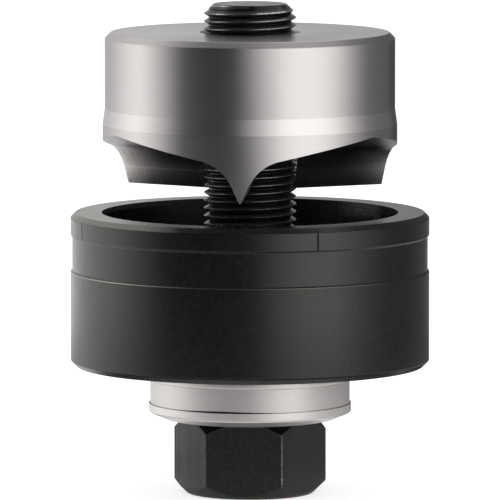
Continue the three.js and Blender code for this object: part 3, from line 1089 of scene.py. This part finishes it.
def oiled_black(settings):
    """The screw: a matt head with worn edges and a forged grain, and an oiled thread with bright crests.
    The head's face at the left has a painted sheen in upright streaks, the head's right is painted glossier,
    and the corners of its face chamfer carry a painted shadow."""
    thread, head = tuple(settings.thread_colour), tuple(settings.head_colour)
    made = Finish("oiled_black_steel", ior=1.5, specular_tint=(1.0, 0.965, 0.925))
    streaks = made.noise(made.scaled(1500.0, 1500.0, 60.0), detail=3.0)
    mottle = made.noise(made.place, 1400.0, detail=3.0, roughness=0.6)
    chips = made.noise(made.place, 2600.0)
    drops = made.noise(made.place, 420.0, detail=3.0)
    wear_and_painted_light = made.attribute("wear_and_painted_light")
    face, soft = settings.head_height, 0.0002
    on_stud = made.rise(made.z, face + soft, face + 2 * soft)
    on_head = made.rest(on_stud)
    # The crests are less bare low on the stud, and every edge at the left is painted darker, as painted
    # shade.
    stud_top, left_side = (0.076, 0.09), (-0.0095, -0.006)
    kept = made.rest(made.product(on_stud, made.spread(made.z, *stud_top, 0.5, 0.15)))
    bare_and_painted_light = made.product(
        made.math("MAXIMUM", wear_and_painted_light, 0.0),
        made.total(made.spread(chips, 0.42, 0.66, 0.08, 0.5), made.product(on_stud, 0.5)),
        made.spread(made.x, *left_side, 0.35, 1.0),
        kept,
    )
    tone = made.layers(
        shade(head, 0.7),
        (made.rise(mottle, 0.35, 0.7), shade(head, 1.6)),
        (made.rise(streaks, 0.55, 0.75, 0.3), shade(head, 2.0)),
        (on_stud, thread),
        (bare_and_painted_light, (0.62, 0.605, 0.59)),
    )
    left = made.fall(made.x, -0.0148, -0.01)
    left_face, right_corner, right_face = (-0.0102, -0.0096), (0.0074, 0.009), (0.0115, 0.0155)
    # Painted light: glossier streaks on the face at the left, a little less gloss at the far left, and more
    # gloss on the right corner and the face at the right.
    level = made.total(
        made.spread(mottle, 0.35, 0.65, 0.37, 0.48),
        made.product(left, made.spread(streaks, 0.4, 0.6, 0.02, 0.5)),
        made.fall(made.x, *left_face, -0.08),
        made.rise(made.x, *right_corner, 0.06),
        made.rise(made.x, *right_face, 0.12),
    )
    # Painted shadow on the corners of the face chamfer.
    chamfer_painted_shadow = made.spread(wear_and_painted_light, -1.0, 0.0, 0.05, 1.0)
    gloss_and_painted_light = made.product(level, made.spread(on_stud, 0.0, 1.0, 1.0, 0.35), chamfer_painted_shadow)
    matt = made.spread(mottle, 0.3, 0.7, 0.42, 0.56)
    oily = made.spread(drops, 0.35, 0.65, 0.2, 0.3)
    rough = made.total(matt, made.product(on_stud, made.math("SUBTRACT", oily, matt)))
    made.set(base_color=tone, metallic=made.rise(bare_and_painted_light, 0.0, 0.2), specular_ior_level=gloss_and_painted_light, roughness=rough)
    made.bumps((mottle, 10.0, on_head), (streaks, 4.0, made.product(on_head, left)))
    return made.material


def satin_steel(settings):
    """Barrel-finished bearing steel: a soft frosted grain over faint turning marks.
    It is brighter on the lower washer."""
    steel = tuple(settings.steel)
    made = Finish("satin_steel", metallic=1.0)
    cloud = made.noise(made.place, 180.0, detail=3.0)
    grain = made.noise(made.place, 3000.0, detail=3.0, roughness=0.6)
    lines = made.noise(made.rings(0.00018, 0.008))
    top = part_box("bearing_lower_washer")[1].z
    tone = made.layers(
        shade(steel, 0.92),
        (made.rise(grain, 0.35, 0.65), shade(steel, 1.06)),
        (made.rise(cloud, 0.4, 0.7, 0.4), shade(steel, 0.9)),
        (made.fall(made.z, top - 0.00004, top - 0.00002), shade(steel, 1.08)),
    )
    made.set(base_color=tone, roughness=made.spread(grain, 0.3, 0.7, 0.36, 0.48))
    made.bumps((lines, 2.5, 1.0), (grain, 4.0, 1.0))
    return made.material


def cage_brass(settings):
    """Pressed brass with a rolled grain and a slight tarnish."""
    made = Finish("cage_brass", metallic=1.0)
    tarnish = made.noise(made.place, 260.0, detail=4.0, roughness=0.6)
    rolled = made.noise(made.scaled(2400.0, 160.0, 2400.0))
    tone = made.mix(made.rise(tarnish, 0.4, 0.7, 0.6), tuple(settings.brass), (0.34, 0.22, 0.08))
    made.set(base_color=tone, roughness=made.spread(rolled, 0.3, 0.7, 0.3, 0.44))
    made.bumps((rolled, 4.0, 1.0))
    return made.material


def ball_steel(settings):
    """Lapped bearing balls: nearly a mirror, with hair-fine running bands."""
    ball = tuple(settings.ball)
    made = Finish("ball_steel", metallic=1.0)
    bands = made.noise(made.scaled(160.0, 160.0, 5200.0))
    haze = made.noise(made.place, 700.0)
    tone = made.mix(made.rise(haze, 0.35, 0.7), ball, shade(ball, 0.9))
    made.set(base_color=tone, roughness=made.spread(bands, 0.3, 0.7, 0.08, 0.16))
    made.bumps((bands, 1.0, 1.0))
    return made.material


# Stage

WHITE = (1.0, 1.0, 1.0)


def bare_material(name):
    """A new material without a shader, and its nodes."""
    material = bpy.data.materials.new(name)
    material.use_nodes = True
    material.node_tree.nodes.clear()
    return material, Nodes(material.node_tree)


def seen_factor(nodes):
    """One for what the camera, a mirror or glass sees, and zero for light that falls on things."""
    path = nodes.add("ShaderNodeLightPath").outputs
    seen = nodes.math("MAXIMUM", path["Is Camera Ray"], path["Is Glossy Ray"])
    return nodes.math("MAXIMUM", seen, path["Is Transmission Ray"])


def floor_material(settings):
    """A pale floor that keeps the object's shadow and looks white to the camera."""
    material, nodes = bare_material("pale_floor")
    diffuse = nodes.add("ShaderNodeBsdfDiffuse", settings.floor_colour)
    glow = nodes.add("ShaderNodeEmission", WHITE, nodes.product(seen_factor(nodes), settings.floor_glow))
    both = nodes.add("ShaderNodeAddShader", diffuse.outputs[0], glow.outputs[0])
    nodes.add("ShaderNodeOutputMaterial", both.outputs[0])
    return material


def card_material(name):
    """A card whose grey and cover are painted on its points. No light that falls on it changes its grey."""
    material, nodes = bare_material(name)
    glow = nodes.add("ShaderNodeEmission", WHITE, nodes.attribute("grey"))
    clear = nodes.add("ShaderNodeBsdfTransparent")
    both = nodes.add("ShaderNodeMixShader", nodes.attribute("cover"), clear.outputs[0], glow.outputs[0])
    nodes.add("ShaderNodeOutputMaterial", both.outputs[0])
    return material


def stage_mesh(name, points, faces, material):
    mesh = bpy.data.meshes.new(name)
    mesh.from_pydata(points, [], faces)
    mesh.materials.append(material)
    mesh.update()
    made = bpy.data.objects.new(name, mesh)
    bpy.context.scene.collection.objects.link(made)
    return made


def card(name, points, faces, greys, covers):
    """A card that only mirrors and gloss show: it is out of the camera's sight and casts no shadow."""
    made = stage_mesh(name, points, faces, card_material(name))
    made.data.attributes.new("grey", "FLOAT", "POINT").data.foreach_set("value", greys)
    made.data.attributes.new("cover", "FLOAT", "POINT").data.foreach_set("value", covers)
    made.visible_camera = False
    made.visible_shadow = False
    made.visible_diffuse = False
    made.visible_transmission = False
    made.visible_volume_scatter = False


def upright_card(name, tiers):
    """A card bent round the object, from its foot on the floor up. Each tier is a radius, a height and its
    stops. Each stop is an azimuth in degrees, a grey and how far the card covers there."""
    count = 97
    starts, ends = [tier[2][0][0] for tier in tiers], [tier[2][-1][0] for tier in tiers]
    places = np.linspace(min(starts), max(ends), count)
    points, faces, greys, covers = [], [], [], []
    for row, (radius, height, stops) in enumerate(tiers):
        azimuths, grey, cover = zip(*stops)
        points += [(x * radius, y * radius, height) for x, y in map(outward, np.radians(places))]
        greys += [*np.interp(places, azimuths, grey)]
        covers += [*np.interp(places, azimuths, cover)]
        if row > 0:
            above = range(row * count, row * count + count - 1)
            faces += [(n - count, n - count + 1, n + 1, n) for n in above]
    card(name, points, faces, greys, covers)


def tiered(settings, foot, flare, low, middle, upper, high):
    """Tiers of a card, by what reflects them: bearing, flare, die, the punch's side in two, and its top."""
    near = settings.card_distance
    spans = (
        (0.0005, 0.0105, foot),
        (0.0135, 0.0175, flare),
        (0.022, 0.042, low),
        (0.052, 0.063, middle),
        (0.073, 0.088, upper),
        (0.1, settings.card_height, high),
    )
    tiers = [(near, height, stops) for *heights, stops in spans for height in heights]
    # Towards the object the card's foot runs on along the floor, and grows fainter.
    for radius, share in ((near * 0.8, 0.4), (0.02, 0.2)):
        faint = [(azimuth, grey, cover * share) for azimuth, grey, cover in foot]
        tiers.insert(0, (radius, spans[0][0], faint))
    return tiers


def level_card(name, height, rings):
    """A round card that lies level. Each ring is a radius, a grey and how far the card covers there."""
    count = 48
    radii, greys, covers = zip(*rings)
    ways = [outward(azimuth) for azimuth in round_azimuths(count)]
    points = [(radius * x, radius * y, height) for radius in radii for x, y in ways]
    faces = [tuple(range(count))] if covers[0] > 0 else []
    for start in range(0, count * (len(rings) - 1), count):
        for n in range(count):
            a, b = start + n, start + (n + 1) % count
            faces.append((a, a + count, b + count, b))
    card(name, points, faces, np.repeat(greys, count), np.repeat(covers, count))


def plain_card(name, height, corners, grey):
    """A small level card of one even grey."""
    card(name, [(x, y, height) for x, y in corners], [(0, 1, 2, 3)], [grey] * 4, [1.0] * 4)


def front_card(settings):
    """The dark card in front, which fades out towards the right."""
    left = ((-92, 0.25, 0.0), (-52, 0.06, 1.0), (-28, 0.02, 1.0))
    left_foot = ((-86, 0.25, 0.0), (-50, 0.07, 0.88), (-28, 0.02, 1.0))
    right_low = ((4, 0.015, 1.0), (15, 0.04, 0.6), (28, 0.08, 0.15), (36, 0.1, 0.0), (42, 0.1, 0.0))
    right_flare = ((-8, 0.015, 1.0), (10, 0.05, 0.45), (22, 0.1, 0.08), (30, 0.1, 0.0), (42, 0.1, 0.0))
    veil = ((34, 0.5, 0.05), (50, 0.5, 0.1), (68, 0.5, 0.0))
    foot, flare, low = (*left_foot, *right_low), (*left, *right_flare), (*left, *right_low)
    middle = (*left, (-5.5, 0.015, 1.0), (28, 0.12, 0.0), *veil)
    upper = (*left, (-10, 0.015, 1.0), (24, 0.12, 0.0), *veil)
    upright_card("dark_card_front", tiered(settings, foot, flare, low, middle, upper, upper))


def back_card(settings):
    """The grey card behind, dark at the right, with a darker edge in it, and pale at the left."""
    dark = ((54, 0.6, 0.0), (70, 0.45, 0.5), (84, 0.28, 0.85), (96, 0.17, 1.0), (110, 0.13, 1.0))
    corner = (136, 0.14, 1.0)
    edge = ((139, 0.085, 1.0), (145, 0.05, 1.0), (152, 0.045, 1.0), (157, 0.16, 1.0), (160, 0.3, 1.0))
    pale = ((187, 0.78, 1.0), (205, 0.78, 1.0), (225, 0.7, 1.0), (240, 0.7, 0.75))
    side = (*dark, corner, *edge, (173, 0.52, 1.0), *pale, (256, 0.82, 0.5), (272, 0.9, 0.0))
    high = (*dark, corner, (150, 0.14, 1.0), (158, 0.42, 1.0), (173, 0.62, 1.0), *pale, (258, 0.9, 0.0))
    dark_low = ((54, 0.5, 0.3), (70, 0.35, 0.8), (84, 0.22, 1.0), (96, 0.16, 1.0), (110, 0.14, 1.0))
    corner_low = (125, 0.16, 1.0)
    pale_low = ((160, 0.35, 0.8), (187, 0.8, 0.3), (205, 0.8, 0.0), (258, 0.9, 0.0))
    low = (*dark_low, corner_low, (152, 0.2, 1.0), *pale_low)
    pale_foot = ((187, 0.66, 0.6), (205, 0.62, 0.8), (225, 0.62, 0.8), (248, 0.9, 0.0), (258, 0.9, 0.0))
    foot = (*dark_low, corner_low, (152, 0.12, 1.0), (160, 0.22, 1.0), *pale_foot)
    upright_card("grey_card_back", tiered(settings, foot, low, low, side, side, high))


def small_cards():
    """The card overhead, the glints on the thread's crests, a dark card that lies on the floor at the back
    right, and painted shadows on the floor round the head and under the die, which only reflections show.
    """
    ceiling, glint_height, on_floor, lowest = 0.47, 0.16, 0.0004, 0.0003
    level_card("grey_card_top", ceiling, ((0.2, 0.08, 1.0), (0.26, 0.42, 1.0), (0.5, 0.42, 1.0)))
    right, left = ((0.01, -0.02), (0.07, 0.06)), ((-0.075, 0.005), (-0.04, 0.05))
    for name, ((x0, y0), (x1, y1)), grey in (("right", right, 1.45), ("left", left, 2.0)):
        plain_card(f"glint_card_{name}", glint_height, ((x0, y0), (x1, y0), (x1, y1), (x0, y1)), grey)
    corners = ((0.036, 0.024), (0.07, 0.024), (0.078, 0.11), (0.044, 0.11))
    plain_card("dark_card_low_right", lowest, corners, 0.04)
    # Painted shadows on the floor under the head and round under the die, seen only in reflections.
    level_card("dark_card_head", on_floor, ((0.0155, 0.03, 0.35), (0.018, 0.03, 0.0)))
    rings = ((0.033, 0.03, 0.0), (0.036, 0.03, 0.9), (0.048, 0.03, 0.9), (0.06, 0.03, 0.0))
    level_card("dark_card_die", on_floor, rings)


def panel_lamp(settings, name, azimuth, width, level):
    """A soft lamp as an upright panel that faces the object, of a brightness given as its radiance."""
    height, off_floor = settings.lamp_height, 0.01
    lamp = bpy.data.lights.new(name, "AREA")
    lamp.shape = "RECTANGLE"
    lamp.size = width
    lamp.size_y = height
    lamp.energy = level * math.pi * width * height
    made = bpy.data.objects.new(name, lamp)
    x, y = outward(math.radians(azimuth))
    made.location = (x * settings.lamp_distance, y * settings.lamp_distance, height / 2 + off_floor)
    made.rotation_euler = Vector((-x, -y, 0)).to_track_quat("-Z", "Z").to_euler()
    made.visible_camera = False
    bpy.context.scene.collection.objects.link(made)


def light_world(settings):
    """White for the camera and for mirrors, and an even fill light."""
    world = bpy.data.worlds.new("studio")
    world.use_nodes = True
    nodes = Nodes(world.node_tree)
    background = world.node_tree.nodes["Background"].inputs
    nodes.feed(background["Color"], WHITE)
    nodes.feed(background["Strength"], nodes.spread(seen_factor(nodes), 0.0, 1.0, settings.fill, 1.0))
    bpy.context.scene.world = world


def place_camera():
    """The photograph's camera: far off, in front, and a little above."""
    camera = bpy.data.cameras.new("camera")
    camera.sensor_width = 36.0
    camera.lens = 565.7
    camera.clip_start, camera.clip_end = 0.1, 20.0
    down = 5.81
    made = bpy.data.objects.new("camera", camera)
    made.location = (0.0, -1.5929, 0.21173)
    made.rotation_euler = (math.radians(90 - down), 0.0, 0.0)
    bpy.context.scene.collection.objects.link(made)
    bpy.context.scene.camera = made


def build_stage(settings):
    """Floor, cards, lamps, surroundings and camera."""
    reach = 6.0
    corners = [(x * reach, y * reach, 0.0) for x, y in ((-1, -1), (1, -1), (1, 1), (-1, 1))]
    stage_mesh("floor", corners, [(0, 1, 2, 3)], floor_material(settings))
    front_card(settings)
    back_card(settings)
    small_cards()
    panel_lamp(settings, "right_softbox", azimuth=46, width=1.3, level=settings.right_lamp)
    panel_lamp(settings, "left_softbox", azimuth=-112, width=1.5, level=settings.left_lamp)
    light_world(settings)
    bpy.context.scene.view_settings.view_transform = "Standard"
    place_camera()


# Operators


class SHEETPUNCH_OT_punch(bpy.types.Operator):
    """Build the bladed punch in ground steel"""

    bl_idname = "sheetpunch.punch"
    bl_label = "Punch"

    def execute(self, context):
        settings = context.scene.sheetpunch_punch
        piece = build_punch(settings, context.scene.sheetpunch_screw.pitch, ground_steel(settings))
        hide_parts("punch")
        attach(piece, "punch")
        return {"FINISHED"}


class SHEETPUNCH_OT_die(bpy.types.Operator):
    """Build the cup-shaped die in black oxide"""

    bl_idname = "sheetpunch.die"
    bl_label = "Die"

    def execute(self, context):
        settings = context.scene.sheetpunch_die
        piece = build_die(settings, black_oxide(settings))
        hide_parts("die")
        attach(piece, "die")
        return {"FINISHED"}


class SHEETPUNCH_OT_draw_screw(bpy.types.Operator):
    """Build the draw screw with its thread and hex head"""

    bl_idname = "sheetpunch.draw_screw"
    bl_label = "Draw Screw"

    def execute(self, context):
        settings = context.scene.sheetpunch_screw
        piece = build_draw_screw(settings, oiled_black(settings))
        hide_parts("draw_screw")
        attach(piece, "draw_screw")
        return {"FINISHED"}


class SHEETPUNCH_OT_bearing_rings(bpy.types.Operator):
    """Build the bearing's two washers and its cover"""

    bl_idname = "sheetpunch.bearing_rings"
    bl_label = "Bearing Rings"

    def execute(self, context):
        settings = context.scene.sheetpunch_bearing
        pieces = build_bearing_rings(settings, satin_steel(settings))
        nodes = ("bearing_lower_washer", "bearing_upper_washer", "bearing_cover")
        for piece, node in zip(pieces, nodes):
            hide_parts(node)
            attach(piece, frame["nodes"][node]["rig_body"])
        return {"FINISHED"}


class SHEETPUNCH_OT_balls(bpy.types.Operator):
    """Build the balls and finish their cage"""

    bl_idname = "sheetpunch.balls"
    bl_label = "Balls and Cage"

    def execute(self, context):
        settings = context.scene.sheetpunch_bearing
        cage = frame["nodes"]["ball_cage"]
        cage.data.materials.clear()
        cage.data.materials.append(cage_brass(settings))
        steel = ball_steel(settings)
        for node in sorted(frame["nodes"]):
            if node.startswith("ball_") and node != "ball_cage":
                piece = build_ball(f"{node}_polished", node, steel)
                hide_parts(node)
                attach(piece, "ball_cage")
        return {"FINISHED"}


class SHEETPUNCH_OT_stage(bpy.types.Operator):
    """Set up the floor, the lamps, the cards and the camera"""

    bl_idname = "sheetpunch.stage"
    bl_label = "Stage"

    def execute(self, context):
        build_stage(context.scene.sheetpunch_stage)
        return {"FINISHED"}


class SHEETPUNCH_PT_sidebar(bpy.types.Panel):
    """Buttons and sizes of the sheet metal punch"""

    bl_idname = "SHEETPUNCH_PT_sidebar"
    bl_label = "Sheet Metal Punch"
    bl_space_type = "VIEW_3D"
    bl_region_type = "UI"
    bl_category = "Sheet Punch"

    def draw(self, context):
        for operator in OPERATORS:
            self.layout.operator(operator.bl_idname)
        for name, group in GROUPS.items():
            box = self.layout.box()
            box.label(text=group.__doc__)
            for key in group.__annotations__:
                box.prop(getattr(context.scene, name), key)


GROUPS = {
    "sheetpunch_punch": PunchSettings,
    "sheetpunch_die": DieSettings,
    "sheetpunch_screw": ScrewSettings,
    "sheetpunch_bearing": BearingSettings,
    "sheetpunch_stage": StageSettings,
}
OPERATORS = (
    SHEETPUNCH_OT_stage,
    SHEETPUNCH_OT_punch,
    SHEETPUNCH_OT_die,
    SHEETPUNCH_OT_draw_screw,
    SHEETPUNCH_OT_bearing_rings,
    SHEETPUNCH_OT_balls,
)
CLASSES = (*GROUPS.values(), *OPERATORS, SHEETPUNCH_PT_sidebar)


def register():
    for cls in CLASSES:
        bpy.utils.register_class(cls)
    for name, group in GROUPS.items():
        setattr(bpy.types.Scene, name, PointerProperty(type=group))


def unregister():
    for name in GROUPS:
        delattr(bpy.types.Scene, name)
    for cls in reversed(CLASSES):
        bpy.utils.unregister_class(cls)


def main():
    register()
    bpy.ops.sheetpunch.stage()
    bpy.ops.sheetpunch.punch()
    bpy.ops.sheetpunch.die()
    bpy.ops.sheetpunch.draw_screw()
    bpy.ops.sheetpunch.bearing_rings()
    bpy.ops.sheetpunch.balls()


if __name__ == "__main__":
    main()
